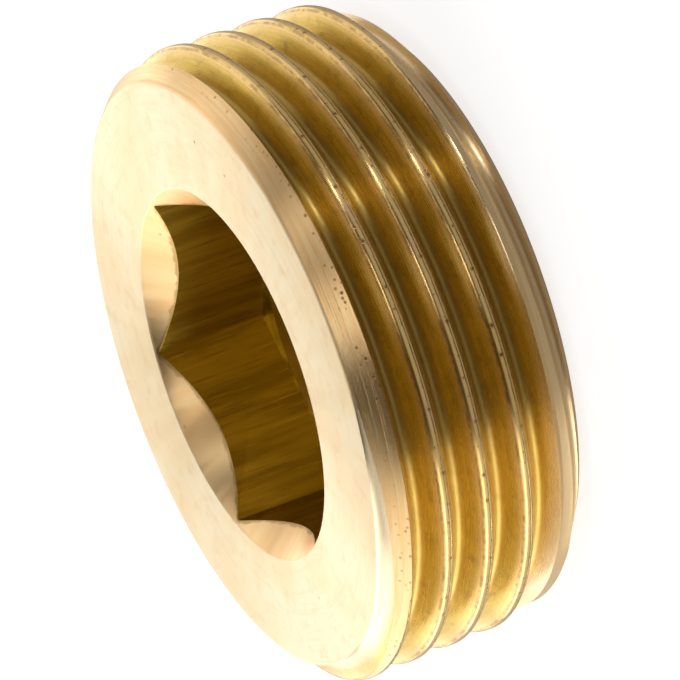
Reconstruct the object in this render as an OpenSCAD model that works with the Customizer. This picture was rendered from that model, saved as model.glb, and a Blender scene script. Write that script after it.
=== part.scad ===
// Pipe plug with an outside taper pipe thread, turned from one piece of brass bar.
// Its small end goes in first, screwed by a key in the hexagon socket of its front face.
// The back end rests on the ground plane and the socket faces up.

/* [Body] */
// Length of the plug, from its back end to its front face
plug_len = 12; // [11.5:0.1:14]
// Diameter of the front face, inside the chamfer
face_d = 31; // [29.5:0.1:32]
// Diameter of the turned-down lead-in at the back end
lead_d = 32; // [31.2:0.05:32.4]
// Length of the lead-in, with its end chamfer
lead_len = 1.7; // [1.4:0.05:2.2]
// Length of the slope from the lead-in up to the crests of the thread
shoulder_len = 0.5; // [0.2:0.05:0.8]
// Diameter of the flat back end, inside the end chamfer
end_d = 29.1; // [28:0.1:30]
// Length of the end chamfer along the axis
end_chamfer = 1.05; // [0.6:0.05:1.2]

/* [Thread] */
// Major diameter, over the crests, at the gauge height
thread_d = 33.25; // [33:0.05:34]
// Gauge height, above the back end
gauge_z = 6; // [4:0.5:8]
// Taper: the length over which the diameter grows by 1 mm towards the front face
taper_len = 16; // [14:1:40]
// Distance from one turn to the next (11 turns to the inch)
pitch = 2.309; // [2.25:0.001:2.4]
// Angle between the two flanks of the groove
flank_angle = 55; // [50:1:60]
// Width of the crest, measured between the straight flanks
crest_w = 0.42; // [0.42:0.01:0.6]
// Radius at the bottom of the groove
root_r = 0.317; // [0.2:0.001:0.35]
// Width of the broken edge on each side of the crest
crest_break = 0.1; // [0.05:0.01:0.12]
// Height of the middle of the groove above the back end, on the +X side
groove_z = 1.04; // [0:0.01:2.3]

/* [Socket] */
// Hexagon socket across its flats
hex_af = 17; // [14:0.1:17]
// Depth at which the flats end
hex_depth = 6.2; // [4.5:0.1:6.5]
// Diameter of the countersink at the front face
mouth_d = 19.9; // [19.8:0.1:23]
// Ledge left at the bottom of the flats, round the drilled hole
ledge = 0.3; // [0.2:0.05:1]
// Depth of the drilled hole at its edge
drill_depth = 7; // [6.8:0.1:7.5]
// Extra depth in the middle of the drilled hole
drill_dish = 0.8; // [0.2:0.1:1.2]

/* [Smoothness] */
// Steps in one turn of the thread
turn_steps = 48; // [36:6:60]
// Steps in the rounded bottom of the groove
root_steps = 3; // [2:1:4]

/* [Hidden] */
brass = [0.80, 0.62, 0.30];
smooth = 96;
major_r = thread_d / 2;
growth = 1 / (2 * taper_len);
overrun = 0.12;
flank_half = flank_angle / 2;

// Radius of the crests at a height above the back end
function crest_r(z) = major_r + (z - gauge_z) * growth;

// Groove section, with the radius as x and the height from the middle of the groove as y
mouth_half = (pitch - crest_w) / 2;
apex_r = major_r - mouth_half / tan(flank_half);
root_centre_r = apex_r + root_r / sin(flank_half);
break_r = major_r - crest_break;
break_half = mouth_half - crest_break * tan(flank_half);
edge_half = break_half + crest_break + overrun;

// The rounded bottom, which meets both flanks on a tangent
function groove_root() = [
    for (i = [0:root_steps])
        let (a = 180 + (90 - flank_half) * (2 * i / root_steps - 1))
            [root_centre_r + root_r * cos(a), root_r * sin(a)]
];

// Closed outline: broken edge and flank above, bottom, flank and broken edge below
groove_section = concat(
    [[major_r + overrun, edge_half], [break_r, break_half]],
    groove_root(),
    [[break_r, -break_half], [major_r + overrun, -edge_half]]
);
section_n = len(groove_section);
first_step = -floor(1.6 * turn_steps);
last_step = ceil((plug_len / pitch + 0.6) * turn_steps);
ring_n = last_step - first_step + 1;

// One point of the section, carried round the axis, up by one pitch a turn and out by the taper
function groove_point(step, p) =
    let (
        turn = step / turn_steps,
        a = 360 * turn,
        z = groove_z + pitch * turn,
        r = p[0] + (z - gauge_z) * growth
    )
        [r * cos(a), r * sin(a), z + p[1]];

// Right-hand helical groove as one solid, a little longer than the plug at both ends
module thread_groove() {
    points = [
        for (step = [first_step:last_step])
            for (p = groove_section)
                groove_point(step, p)
    ];
    sides = [
        for (i = [0:ring_n - 2])
            for (j = [0:section_n - 1])
                let (a = i * section_n + j, b = i * section_n + (j + 1) % section_n)
                    [a, b, b + section_n, a + section_n]
    ];
    start_cap = [for (j = [section_n - 1:-1:0]) j];
    end_cap = [for (j = [0:section_n - 1]) (ring_n - 1) * section_n + j];
    polyhedron(points, concat(sides, [start_cap, end_cap]), convexity = 12);
}

// Turned blank: back end, lead-in, shoulder, cone over the crests, 45 degree chamfer and face
module blank() {
    shoulder_z = lead_len + shoulder_len;
    chamfer_z = (face_d / 2 + plug_len - crest_r(0)) / (1 + growth);
    rotate_extrude($fn = smooth)
        polygon([
            [0, 0],
            [end_d / 2, 0],
            [lead_d / 2, end_chamfer],
            [lead_d / 2, lead_len],
            [crest_r(shoulder_z), shoulder_z],
            [crest_r(chamfer_z), chamfer_z],
            [face_d / 2, plug_len],
            [0, plug_len]
        ]);
}

// Hexagon for the key, with two of its corners on the X axis
module hexagon() {
    translate([0, 0, plug_len - hex_depth])
        cylinder(r = hex_af / sqrt(3), h = hex_depth + 1, $fn = 6);
}

// Countersunk mouth of the socket, at 45 degrees
module countersink() {
    mouth_r = mouth_d / 2;
    inner_r = hex_af / 2 - 1;
    rise = mouth_r - inner_r;
    translate([0, 0, plug_len - rise])
        cylinder(r1 = inner_r, r2 = mouth_r + 1, h = rise + 1, $fn = smooth);
}

// Hole drilled before the flats were cut, a little deeper than they are
module drilled_hole() {
    hole_r = hex_af / 2 - ledge;
    rotate_extrude($fn = smooth)
        polygon([
            [0, plug_len - drill_depth - drill_dish],
            [hole_r, plug_len - drill_depth],
            [hole_r, plug_len - hex_depth + 1],
            [0, plug_len - hex_depth + 1]
        ]);
}

module plug() {
    color(brass)
        difference() {
            blank();
            hexagon();
            countersink();
            drilled_hole();
            thread_groove();
        }
}

plug();
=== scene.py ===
import math

import bpy
from mathutils import Matrix, Vector


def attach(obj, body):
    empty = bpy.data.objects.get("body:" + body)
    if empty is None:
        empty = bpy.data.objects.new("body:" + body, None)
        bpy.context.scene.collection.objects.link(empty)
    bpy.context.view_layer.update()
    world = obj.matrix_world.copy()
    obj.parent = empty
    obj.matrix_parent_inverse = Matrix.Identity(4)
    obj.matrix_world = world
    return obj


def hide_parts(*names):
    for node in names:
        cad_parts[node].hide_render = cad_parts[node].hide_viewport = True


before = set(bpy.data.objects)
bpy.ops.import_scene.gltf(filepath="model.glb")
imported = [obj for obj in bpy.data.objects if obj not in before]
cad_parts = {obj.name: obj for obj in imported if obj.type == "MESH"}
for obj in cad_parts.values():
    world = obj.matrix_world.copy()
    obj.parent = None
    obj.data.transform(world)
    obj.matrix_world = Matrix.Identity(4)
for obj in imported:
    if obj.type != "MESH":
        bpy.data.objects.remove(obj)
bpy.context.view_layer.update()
bpy.ops.object.select_all(action="DESELECT")


# Camera. The photograph was taken with a long lens, from the side of the plug and a
# little above its front face, and the plug's axis leans across the picture.
corner_turn = math.radians(36.6)
up_side = Vector((math.cos(corner_turn), math.sin(corner_turn), 0))
right_side = Vector((math.sin(corner_turn), -math.cos(corner_turn), 0))
into_plug = Vector((0, 0, -1))
cam_right = 0.8808 * into_plug - 0.2951 * up_side + 0.3704 * right_side
cam_down = -0.3177 * into_plug - 0.9482 * up_side
cam_ahead = 0.3512 * into_plug - 0.1177 * up_side - 0.9289 * right_side
face_middle = Vector((0, 0, 0.012))
cam_data = bpy.data.cameras.new("camera")
cam_data.sensor_width = 36
cam_data.lens = 12000 / 680 * 36
cam_data.clip_start = 0.05
cam_data.clip_end = 20
cam = bpy.data.objects.new("camera", cam_data)
bpy.context.collection.objects.link(cam)
away = 0.6057
place = face_middle - away * cam_ahead
place -= cam_right * (231.0 - 340) / 12000 * away
place -= cam_down * (375.4 - 340) / 12000 * away
turn = Matrix((cam_right, -cam_down, -cam_ahead)).transposed()
cam.matrix_world = Matrix.Translation(place) @ turn.to_4x4()
bpy.context.scene.camera = cam


# Thread. A right-hand taper pipe thread, cut with a single-point tool while the plug turned:
# straight flanks, a rounded bottom and a narrow crest with worn edges. It isn't a piece of
# its own: this is the turned form that the blank is cut down to.
class Wire:
    """A socket that takes part in sums as a number does."""

    tree = None

    def __init__(self, socket):
        self.socket = socket

    @classmethod
    def node(cls, kind, values=(), out=0, **settings):
        made = cls.tree.nodes.new(kind)
        for name, value in settings.items():
            if name == "stops":
                ramp = made.color_ramp
                while len(ramp.elements) < len(value):
                    ramp.elements.new(0.5)
                for element, (at, shade) in zip(ramp.elements, value):
                    element.position = at
                    element.color = (*shade, 1) if len(shade) == 3 else shade
            else:
                setattr(made, name, value)
        for name, value in dict(values).items():
            socket = next(s for s in made.inputs if s.enabled and s.name == name) if isinstance(name, str) else made.inputs[name]
            if isinstance(value, Wire):
                cls.tree.links.new(value.socket, socket)
            else:
                socket.default_value = value
        return cls(made.outputs[out] if out else next(s for s in made.outputs if s.enabled))

    def sum_with(self, other, how, flip=False):
        pair = (other, self) if flip else (self, other)
        return Wire.node("ShaderNodeMath", dict(enumerate(pair)), operation=how)

    def __add__(self, other):
        return self.sum_with(other, "ADD")

    def __radd__(self, other):
        return self.sum_with(other, "ADD")

    def __sub__(self, other):
        return self.sum_with(other, "SUBTRACT")

    def __rsub__(self, other):
        return self.sum_with(other, "SUBTRACT", True)

    def __mul__(self, other):
        return self.sum_with(other, "MULTIPLY")

    def __rmul__(self, other):
        return self.sum_with(other, "MULTIPLY")

    def __truediv__(self, other):
        return self.sum_with(other, "DIVIDE")

    def __pow__(self, other):
        return self.sum_with(other, "POWER")

    def at_least(self, other):
        return self.sum_with(other, "MAXIMUM")

    def at_most(self, other):
        return self.sum_with(other, "MINIMUM")

    def ramp(self, low, high, start=0.0, end=1.0):
        """Runs smoothly from start to end as the value goes from low to high."""
        return Wire.node(
            "ShaderNodeMapRange",
            {"Value": self, "From Min": low, "From Max": high, "To Min": start, "To Max": end},
            interpolation_type="SMOOTHSTEP",
        )


def start_brass(name, anisotropic, rotation):
    """Starts a bare brass, and gives its shader, the place on it in mm and its radius."""
    made = bpy.data.materials.new(name)
    made.use_nodes = True
    Wire.tree = made.node_tree
    shader = made.node_tree.nodes["Principled BSDF"]
    shader.inputs["Metallic"].default_value = 1
    shader.inputs["Anisotropic"].default_value = anisotropic
    shader.inputs["Anisotropic Rotation"].default_value = rotation
    spot = Wire.node("ShaderNodeTexCoord", out="Object")
    spot = Wire.node("ShaderNodeVectorMath", {0: spot, 1: (1000, 1000, 1000)}, operation="MULTIPLY")
    x, y, z = (Wire.node("ShaderNodeSeparateXYZ", {0: spot}, out) for out in "XYZ")
    return made, shader, spot, x, y, z, (x * x + y * y) ** 0.5


def noise(spot, scale, detail=3.0, rough=0.6):
    values = {"Vector": spot, "Scale": scale, "Detail": detail, "Roughness": rough}
    return Wire.node("ShaderNodeTexNoise", values)


def lines_round(x, y, r, across, width, length):
    """Tool lines that run round the axis: their width in mm, and their length in radians."""
    spot = {"X": across / width, "Y": x / r / length, "Z": y / r / length}
    return noise(Wire.node("ShaderNodeCombineXYZ", spot), 1, 4, 0.62)


def specks(spot, gap, size, share):
    """Small pits about the gap apart in mm, on a share of the places where one could be."""
    cells = {"Vector": spot, "Scale": 1 / gap, "Randomness": 1.0}
    place = Wire.node("ShaderNodeTexVoronoi", cells, "Distance")
    luck = Wire.node("ShaderNodeTexVoronoi", cells, "Color")
    luck = Wire.node("ShaderNodeSeparateColor", {0: luck}, "Red")
    return place.ramp(size / gap, size / gap * 0.45) * luck.ramp(1 - share, 1.02 - share)


def beads(along, off, gap, size, share):
    """Pits in a row along a line, at most one to a gap, each a little off the line."""
    cells = {"W": along / gap, "Scale": 1.0, "Randomness": 1.0}
    near = Wire.node("ShaderNodeTexVoronoi", cells, "Distance", voronoi_dimensions="1D") * gap
    luck = Wire.node("ShaderNodeTexVoronoi", cells, "Color", voronoi_dimensions="1D")
    here, shift, large = (Wire.node("ShaderNodeSeparateColor", {0: luck}, out) for out in ("Red", "Green", "Blue"))
    off = off - (shift - 0.5) * 0.34
    far = (near * near + off * off) ** 0.5 / (large * 0.9 + 0.5)
    return far.ramp(size, size * 0.5) * here.ramp(1 - share, 1.02 - share)


def tint(mask, under, over):
    values = {"Factor": mask, "A": under, "B": over}
    return Wire.node("ShaderNodeMix", values, data_type="RGBA")


def finish_brass(shader, colour, roughness, height, depth):
    """Links what varies: colour, roughness, and a height in units of the depth, in mm."""
    bump = {"Height": height, "Strength": 1.0, "Distance": depth / 1000}
    bump = Wire.node("ShaderNodeBump", bump)
    for name, wire in (("Base Color", colour), ("Roughness", roughness), ("Normal", bump)):
        Wire.tree.links.new(wire.socket, shader.inputs[name])


def draw_outline(name, points):
    """Draws a chain of edges through the points (radius, height), in millimetres."""
    bpy.ops.mesh.primitive_plane_add(size=0.001)
    made = bpy.context.object
    made.name = name
    made.data.name = name
    bpy.ops.object.mode_set(mode="EDIT")
    bpy.ops.mesh.select_mode(type="VERT")
    bpy.ops.mesh.select_all(action="SELECT")
    bpy.ops.mesh.merge(type="CENTER")
    x, z = points[0]
    bpy.ops.transform.translate(value=(x / 1000, 0, z / 1000))
    for nx, nz in points[1:]:
        bpy.ops.mesh.extrude_region_move(
            TRANSFORM_OT_translate={"value": ((nx - x) / 1000, 0, (nz - z) / 1000)}
        )
        x, z = nx, nz
    bpy.ops.object.mode_set(mode="OBJECT")
    return made


def apply_modifier(piece, kind, **settings):
    bpy.ops.object.select_all(action="DESELECT")
    piece.select_set(True)
    bpy.context.view_layer.objects.active = piece
    made = piece.modifiers.new(kind.title(), kind)
    for name, value in settings.items():
        setattr(made, name, value)
    bpy.ops.object.modifier_apply(modifier=made.name)


pitch = 2.309
major_r = 16.625
flank_run = math.tan(math.radians(27.5))
crest_w = 0.42
root_r = 0.317
root_mid_r = major_r - (pitch - crest_w) / 2 / flank_run + root_r / math.sin(math.radians(27.5))
flank_end = root_mid_r - root_r * math.sin(math.radians(27.5))
groove_mid = 1.04
gauge_z = 6
taper = 1 / 32

# one side of a turn, from the middle of the crest down to the middle of the groove below it
worn_crest = ((0, 0), (0, 0.06), (0.003, 0.11), (0.012, 0.155), (0.030, 0.195), (0.06, 0.228))
side = [(major_r - drop, -off) for drop, off in worn_crest]
for r in (major_r - 0.10, major_r - 0.15, flank_end + 0.12, flank_end):
    side.append((r, -(crest_w / 2 + (major_r - r) * flank_run)))
for i in range(1, 6):
    a = math.radians(62.5) * (1 - i / 5)
    side.append((root_mid_r - root_r * math.cos(a), -pitch / 2 + root_r * math.sin(a)))
crest_z = groove_mid - 1.5 * pitch
turn_outline = side[::-1] + [(r, -z) for r, z in side[1:]]
# the ends are drawn at the middle of the plug's length, where the taper leaves the size alone
thread = draw_outline("thread", [(r, z + crest_z - gauge_z) for r, z in turn_outline])
apply_modifier(
    thread,
    "SCREW",
    angle=math.tau,
    screw_offset=pitch / 1000,
    iterations=8,
    steps=180,
    render_steps=180,
)


def pick(piece, chosen):
    """Selects the vertices that the test picks, and leaves edit mode."""
    bpy.context.view_layer.objects.active = piece
    bpy.ops.object.mode_set(mode="EDIT")
    bpy.ops.mesh.select_mode(type="VERT")
    bpy.ops.mesh.select_all(action="DESELECT")
    bpy.ops.object.mode_set(mode="OBJECT")
    for v in piece.data.vertices:
        v.select = chosen(v)


def face_outward(piece, gap):
    """Joins what lies closer than the gap, in metres, and turns every face outward."""
    bpy.context.view_layer.objects.active = piece
    bpy.ops.object.mode_set(mode="EDIT")
    bpy.ops.mesh.select_all(action="SELECT")
    bpy.ops.mesh.remove_doubles(threshold=gap)
    bpy.ops.mesh.normals_make_consistent(inside=False)
    bpy.ops.object.mode_set(mode="OBJECT")


face_outward(thread, 2e-6)
bpy.ops.object.mode_set(mode="EDIT")
bpy.ops.mesh.select_mode(type="VERT")
bpy.ops.mesh.select_all(action="DESELECT")
bpy.ops.mesh.select_non_manifold(extend=False)
bpy.ops.object.mode_set(mode="OBJECT")
borders = [
    [v.index for v in thread.data.vertices if v.select and (v.co.z < 0) == low]
    for low in (True, False)
]
for border in borders:
    pick(thread, lambda v: v.index in border)
    bpy.ops.object.mode_set(mode="EDIT")
    bpy.ops.mesh.extrude_edges_move()
    bpy.ops.mesh.merge(type="CENTER")
    bpy.ops.object.mode_set(mode="OBJECT")
tall = thread.dimensions.z * 1000
apply_modifier(
    thread,
    "SIMPLE_DEFORM",
    deform_method="TAPER",
    deform_axis="Z",
    factor=tall * taper / major_r,
)
bpy.ops.object.mode_set(mode="EDIT")
bpy.ops.mesh.select_all(action="SELECT")
bpy.ops.transform.translate(value=(0, 0, gauge_z / 1000))
bpy.ops.object.mode_set(mode="OBJECT")
face_outward(thread, 1e-7)

# Brass of the thread: bright, burnished crests, and grooves painted a darker, deeper gold the
# deeper they go, as painted shade for the shade and the light bounced between the flanks, with
# tool lines along the groove and small dark pits where the crest was torn.
def thread_brass():
    made, shader, spot, x, y, z, r = start_brass("threaded_brass", 0.88, 0.25)
    drop = (z - gauge_z) * taper + major_r - r
    around = Wire.node("ShaderNodeMath", {0: y, 1: x}, operation="ARCTAN2") / math.tau
    turns = (z - crest_z) / pitch - around
    off_crest = Wire.node("ShaderNodeMath", {0: turns, 1: -0.5, 2: 0.5}, operation="WRAP") * pitch
    lines = lines_round(x, y, r, drop, 0.09, 0.5)
    broad = lines_round(x, y, r, drop, 0.35, 0.25)
    patches = noise(spot, 0.45, 3)
    ragged = noise(spot, 2.2, 3) * 0.16 - 0.08
    full = z.ramp(2.1, 2.5)
    inside = (drop + (patches - 0.5) * 0.25).ramp(0.06, 0.70) * full
    breaks = noise(Wire.node("ShaderNodeCombineXYZ", {"X": x, "Y": y, "Z": z * 0.3}), 1.3, 3).ramp(0.38, 0.60)
    torn = off_crest + ragged * 0.5
    seam = torn.ramp(-0.115, -0.075) * torn.ramp(-0.030, -0.065)
    dull = torn.ramp(-0.24, -0.20) * torn.ramp(-0.06, -0.10)
    front_edge = torn.ramp(0.21, 0.25) * torn.ramp(0.34, 0.29)
    back_edge = torn.ramp(-0.20, -0.24) * torn.ramp(-0.36, -0.31)
    turn = Wire.node("ShaderNodeMath", {0: turns}, operation="ROUND")
    along = around * (math.tau * major_r) + turn * 7.3
    halo = beads(along, off_crest, 1.7, 0.19, 0.65)
    pits = beads(along, off_crest, 1.7, 0.095, 0.65)
    pricks = beads(along + 3.1, off_crest, 0.7, 0.05, 0.35)
    grains = specks(spot, 0.70, 0.07, 0.10)
    stains = noise(Wire.node("ShaderNodeCombineXYZ", {"X": x, "Y": y, "Z": z * 2}), 1.1, 5, 0.65)
    crest = tint(lines.ramp(0.35, 0.65), (0.94, 0.655, 0.26, 1), (0.90, 0.59, 0.21, 1))
    crest = tint(patches.ramp(0.50, 0.66) * 0.4, crest, (0.84, 0.56, 0.36, 1))
    # Painted shade: the groove is painted a darker, deeper gold than the crest, for the shade and the light bounced
    # between its flanks; the blotches over it are stains.
    groove_stain_and_shade = tint(broad.ramp(0.3, 0.7), (0.63, 0.415, 0.065, 1), (0.78, 0.53, 0.11, 1))
    groove_stain_and_shade = tint(stains.ramp(0.50, 0.72) * 0.5, groove_stain_and_shade, (0.33, 0.22, 0.045, 1))
    # Painted shade: darker still towards the root of the groove.
    groove_stain_and_shade = tint(drop.ramp(1.0, 1.45) * 0.60, groove_stain_and_shade, (0.45, 0.30, 0.10, 1))
    # Painted shade: the groove colour comes in with the depth below the crest.
    colour = tint(inside, crest, groove_stain_and_shade)
    # Painted highlight: the runout at the front is painted a pale cream.
    colour = tint(z.ramp(11.0, 11.5), colour, (0.95, 0.77, 0.50, 1))
    # Painted highlight: the last turn at the back end is painted paler.
    colour = tint(z.ramp(2.5, 2.1), colour, (0.95, 0.73, 0.43, 1))
    colour = tint(dull * full * 0.5, colour, (0.60, 0.39, 0.15, 1))
    colour = tint(seam * full * (breaks * 0.5 + 0.5), colour, (0.22, 0.13, 0.04, 1))
    edges = (front_edge * (breaks * 0.5 + 0.1) + back_edge * (breaks * 0.6 + 0.3)) * full
    colour = tint(edges, colour, (0.28, 0.165, 0.05, 1))
    colour = tint(halo * 0.45, colour, (0.62, 0.34, 0.12, 1))
    colour = tint(pits * 0.65, colour, (0.20, 0.11, 0.05, 1))
    colour = tint((grains + pricks).at_most(1) * 0.6, colour, (0.30, 0.16, 0.05, 1))
    roughness = lines * 0.10 + drop.ramp(1.1, 1.45) * 0.10 + pits * 0.3 + 0.225
    height = lines * 0.35 + broad * 0.8 + stains * inside - seam * 3 - pits * 2 - grains
    finish_brass(shader, colour, roughness, height, 0.005)
    return made


thread.data.materials.append(thread_brass())

# Plug body. The plug is one piece of brass bar, turned to this outline all round: flat back
# end, end chamfer, lead-in with a sloped shoulder, front chamfer with a rounded rim, face.
body_outline = [(0, 0), (14.56, 0), (16.0, 1.05), (16.0, 1.7), (17.0, 2.7), (17.0, 10.5)]
for a in (45, 33.75, 22.5, 11.25, 0):
    a = math.radians(a)
    body_outline.append((15.293 + 0.5 * math.sin(a), 11.5 + 0.5 * math.cos(a)))
body_outline.append((0, 12))


def turn_round(piece):
    apply_modifier(
        piece,
        "SCREW",
        angle=math.tau,
        steps=192,
        render_steps=192,
        use_merge_vertices=True,
        merge_threshold=1e-6,
    )
    face_outward(piece, 1e-6)


plug = draw_outline("plug_body", body_outline)
turn_round(plug)


def turned_brass():
    made, shader, spot, x, y, z, r = start_brass("turned_brass", 0.75, 0.25)
    face = z.ramp(11.93, 11.99)
    across = r - z * (1 - face)
    lines = lines_round(x, y, r, across, 0.10, 0.6)
    wide = lines_round(x, y, r, across, 0.35, 0.30)
    scores = lines_round(x, y, r, across, 0.055, 0.9).ramp(0.60, 0.68)
    patches = noise(spot, 0.22, 3, 0.5)
    mottle = noise(spot, 1.1, 4, 0.6)
    rim = r.ramp(15.9, 16.5) * z.ramp(8.0, 10.0)
    burr = specks(spot, 0.36, 0.12, 0.60) * rim * patches.ramp(0.38, 0.55)
    halo = specks(spot, 1.3, 0.16, 0.14)
    pits = (specks(spot, 1.3, 0.08, 0.14) + burr).at_most(1)
    # Painted highlight: the face is painted a paler cream than the chamfers and the body, the look of brass in
    # strong light.
    flat = tint(patches.ramp(0.36, 0.66), (0.96, 0.81, 0.54, 1), (0.95, 0.745, 0.45, 1))
    flat = tint(wide.ramp(0.50, 0.68) * 0.30, flat, (0.90, 0.64, 0.34, 1))
    flat = tint(mottle.ramp(0.50, 0.72) * 0.35, flat, (0.88, 0.62, 0.34, 1))
    slope = tint(wide.ramp(0.35, 0.62), (0.96, 0.69, 0.35, 1), (0.92, 0.59, 0.27, 1))
    slope = tint(scores * (1 - face) * 0.65, slope, (0.45, 0.27, 0.12, 1))
    # Painted highlight: paler towards the back end.
    slope = tint(z.ramp(4.0, 3.0), slope, (0.96, 0.72, 0.40, 1))
    # Painted shade: dark brown at the bottom of the socket.
    slope = tint(r.ramp(9.4, 8.8) * z.ramp(9.0, 8.0), slope, (0.42, 0.26, 0.04, 1))
    flats = [x * math.cos(math.radians(a)) + y * math.sin(math.radians(a)) for a in (30, 90, 150)]
    flats = [(flat * flat) ** 0.5 for flat in flats]
    to_wall = flats[0].at_least(flats[1]).at_least(flats[2]) - 8.5
    wall_burr = (to_wall + mottle * 0.5).ramp(0.42, 0.28) * r.ramp(9.9, 9.8) * z.ramp(9.0, 9.5)
    # The face takes its paler colour, a painted highlight, and the rest the deeper one.
    colour = tint(face, slope, flat)
    colour = tint(mottle.ramp(0.55, 0.80) * 0.25, colour, (0.88, 0.62, 0.32, 1))
    colour = tint(halo * 0.4, colour, (0.66, 0.38, 0.16, 1))
    colour = tint(wall_burr * 0.7, colour, (0.40, 0.24, 0.08, 1))
    colour = tint(pits * 0.7, colour, (0.22, 0.12, 0.05, 1))
    roughness = lines * 0.12 + mottle * 0.06 + pits * 0.2 + 0.27
    height = lines * (1 - face * 0.6) + wide * (1 - face) + mottle * face - pits - scores
    finish_brass(shader, colour, roughness, height, 0.004)
    return made


plug.data.materials.append(turned_brass())

# Socket. A hexagon for a 17 mm key, broached into a drilled hole whose edge was countersunk
# first. The broach leaves a narrow ledge round the bottom of the hole.
bpy.ops.mesh.primitive_cylinder_add(
    vertices=6,
    radius=0.017 / math.sqrt(3),
    depth=0.0092,
    location=(0, 0, 0.0104),
    rotation=(0, 0, math.pi / 6),
)
hexagon = bpy.context.object
bpy.ops.object.transform_apply(location=True, rotation=True, scale=True)
bpy.ops.object.mode_set(mode="EDIT")
bpy.ops.mesh.select_mode(type="EDGE")
bpy.ops.mesh.select_all(action="DESELECT")
bpy.ops.object.mode_set(mode="OBJECT")
for edge in hexagon.data.edges:
    p, q = (hexagon.data.vertices[i].co for i in edge.vertices)
    edge.select = abs(p.z - q.z) > 0.001
bpy.ops.object.mode_set(mode="EDIT")
bpy.ops.mesh.bevel(offset=0.00015, segments=3)
bpy.ops.object.mode_set(mode="OBJECT")
def shaded_broached_brass():
    made, shader, spot, x, y, z, r = start_brass("shaded_broached_brass", 0.6, 0.0)
    lines = noise(Wire.node("ShaderNodeCombineXYZ", {"X": x * 7, "Y": y * 7, "Z": z * 0.25}), 1, 4, 0.65)
    bands = noise(Wire.node("ShaderNodeCombineXYZ", {"X": x, "Y": y, "Z": z * 0.12}), 1, 2)
    # Painted shade: the walls are painted a dark brown, far darker than the brass outside the socket; the broach
    # lines run darker and lighter along them.
    colour = tint(bands.ramp(0.35, 0.65), (0.36, 0.235, 0.022, 1), (0.54, 0.37, 0.045, 1))
    colour = tint(lines.ramp(0.55, 0.72) * 0.6, colour, (0.20, 0.11, 0.015, 1))
    colour = tint(lines.ramp(0.42, 0.30) * 0.5, colour, (0.78, 0.58, 0.16, 1))
    roughness = lines * 0.15 + 0.28
    finish_brass(shader, colour, roughness, lines, 0.012)
    return made


hexagon.data.materials.append(shaded_broached_brass())
countersink = draw_outline("countersink", [(0, 9.5), (7.45, 9.5), (10.95, 13), (0, 13)])
turn_round(countersink)
drilling = draw_outline("drilling", [(0, 4.2), (8.2, 5.0), (8.2, 6.8), (0, 6.8)])
turn_round(drilling)
countersink.data.materials.append(plug.data.materials[0])
drilling.data.materials.append(plug.data.materials[0])
for tool in (hexagon, countersink, drilling):
    apply_modifier(plug, "BOOLEAN", object=tool, operation="DIFFERENCE", solver="MANIFOLD", material_mode="TRANSFER")
    bpy.data.objects.remove(tool)
apply_modifier(
    plug,
    "BEVEL",
    width=0.00005,
    segments=2,
    limit_method="ANGLE",
    angle_limit=math.radians(30),
)
apply_modifier(plug, "BOOLEAN", object=thread, operation="INTERSECT", solver="MANIFOLD", material_mode="TRANSFER")
bpy.data.objects.remove(thread)
bpy.ops.object.select_all(action="DESELECT")
plug.select_set(True)
bpy.context.view_layer.objects.active = plug
bpy.ops.object.shade_smooth_by_angle(angle=math.radians(28))
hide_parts("plug")
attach(plug, "root")

# Floor
bpy.ops.mesh.primitive_plane_add(size=4)
floor = bpy.context.object
floor.name = "floor"
paper = bpy.data.materials.new("floor_paper")
paper.use_nodes = True
tree = paper.node_tree
Wire.tree = tree
for n in list(tree.nodes):
    if n.type != "OUTPUT_MATERIAL":
        tree.nodes.remove(n)
ray = tree.nodes.new("ShaderNodeLightPath")
seen = Wire(ray.outputs["Is Camera Ray"]).at_least(Wire(ray.outputs["Is Glossy Ray"])).at_least(Wire(ray.outputs["Is Transmission Ray"]))
diffuse = Wire.node("ShaderNodeBsdfDiffuse", {"Color": (0.5, 0.5, 0.5, 1)})
glow = Wire.node("ShaderNodeEmission", {"Color": (1, 1, 1, 1), "Strength": Wire(ray.outputs["Is Camera Ray"]) * 0.76 + Wire(ray.outputs["Is Glossy Ray"]).at_least(Wire(ray.outputs["Is Transmission Ray"])) * 0.12})
both = Wire.node("ShaderNodeAddShader", {0: diffuse, 1: glow})
tree.links.new(both.socket, tree.nodes["Material Output"].inputs["Surface"])
floor.data.materials.append(paper)

world = bpy.data.worlds.new("studio")
bpy.context.scene.world = world
world.use_nodes = True
world.node_tree.nodes["Background"].inputs["Color"].default_value = (1, 0.78, 0.50, 1)
world.node_tree.nodes["Background"].inputs["Strength"].default_value = 0.05
# name, turn from the camera's side towards the picture's top, height, width, tall, brightness
softboxes = (
    ("back_lamp", 180, 26, 0.80, 0.54, 1.07),
    ("back_low_lamp", 180, 6, 0.80, 0.12, 0.77),
    ("side_low_lamp", 269, 7, 1.10, 0.14, 4.90),
    ("side_lamp", 260, 29, 1.08, 0.50, 1.15),
    ("high_lamp", 236, 62, 0.80, 0.16, 0.55),
    ("upper_low_lamp", 117, 6, 0.44, 0.12, 0.71),
    ("upper_lamp", 120, 36, 0.34, 0.48, 0.80),
    ("top_lamp", 19, 66, 0.15, 0.17, 3.10),
    ("peak_lamp", 78, 66, 0.13, 0.17, 1.50),
    ("strip_lamp", 55, 23, 0.035, 0.30, 11.0),
)
for name, around, height, wide, tall, level in softboxes:
    lamp = bpy.data.lights.new(name, "AREA")
    lamp.shape = "RECTANGLE"
    lamp.size = wide
    lamp.size_y = tall
    lamp.energy = level * math.pi * wide * tall
    light = bpy.data.objects.new(name, lamp)
    bpy.context.collection.objects.link(light)
    a, e = math.radians(around - 53.4), math.radians(height)
    way = Vector((math.cos(a) * math.cos(e), math.sin(a) * math.cos(e), math.sin(e)))
    light.location = way * 0.55
    light.rotation_euler = way.to_track_quat("Z", "Y").to_euler()

bpy.context.scene.view_settings.view_transform = "Standard"
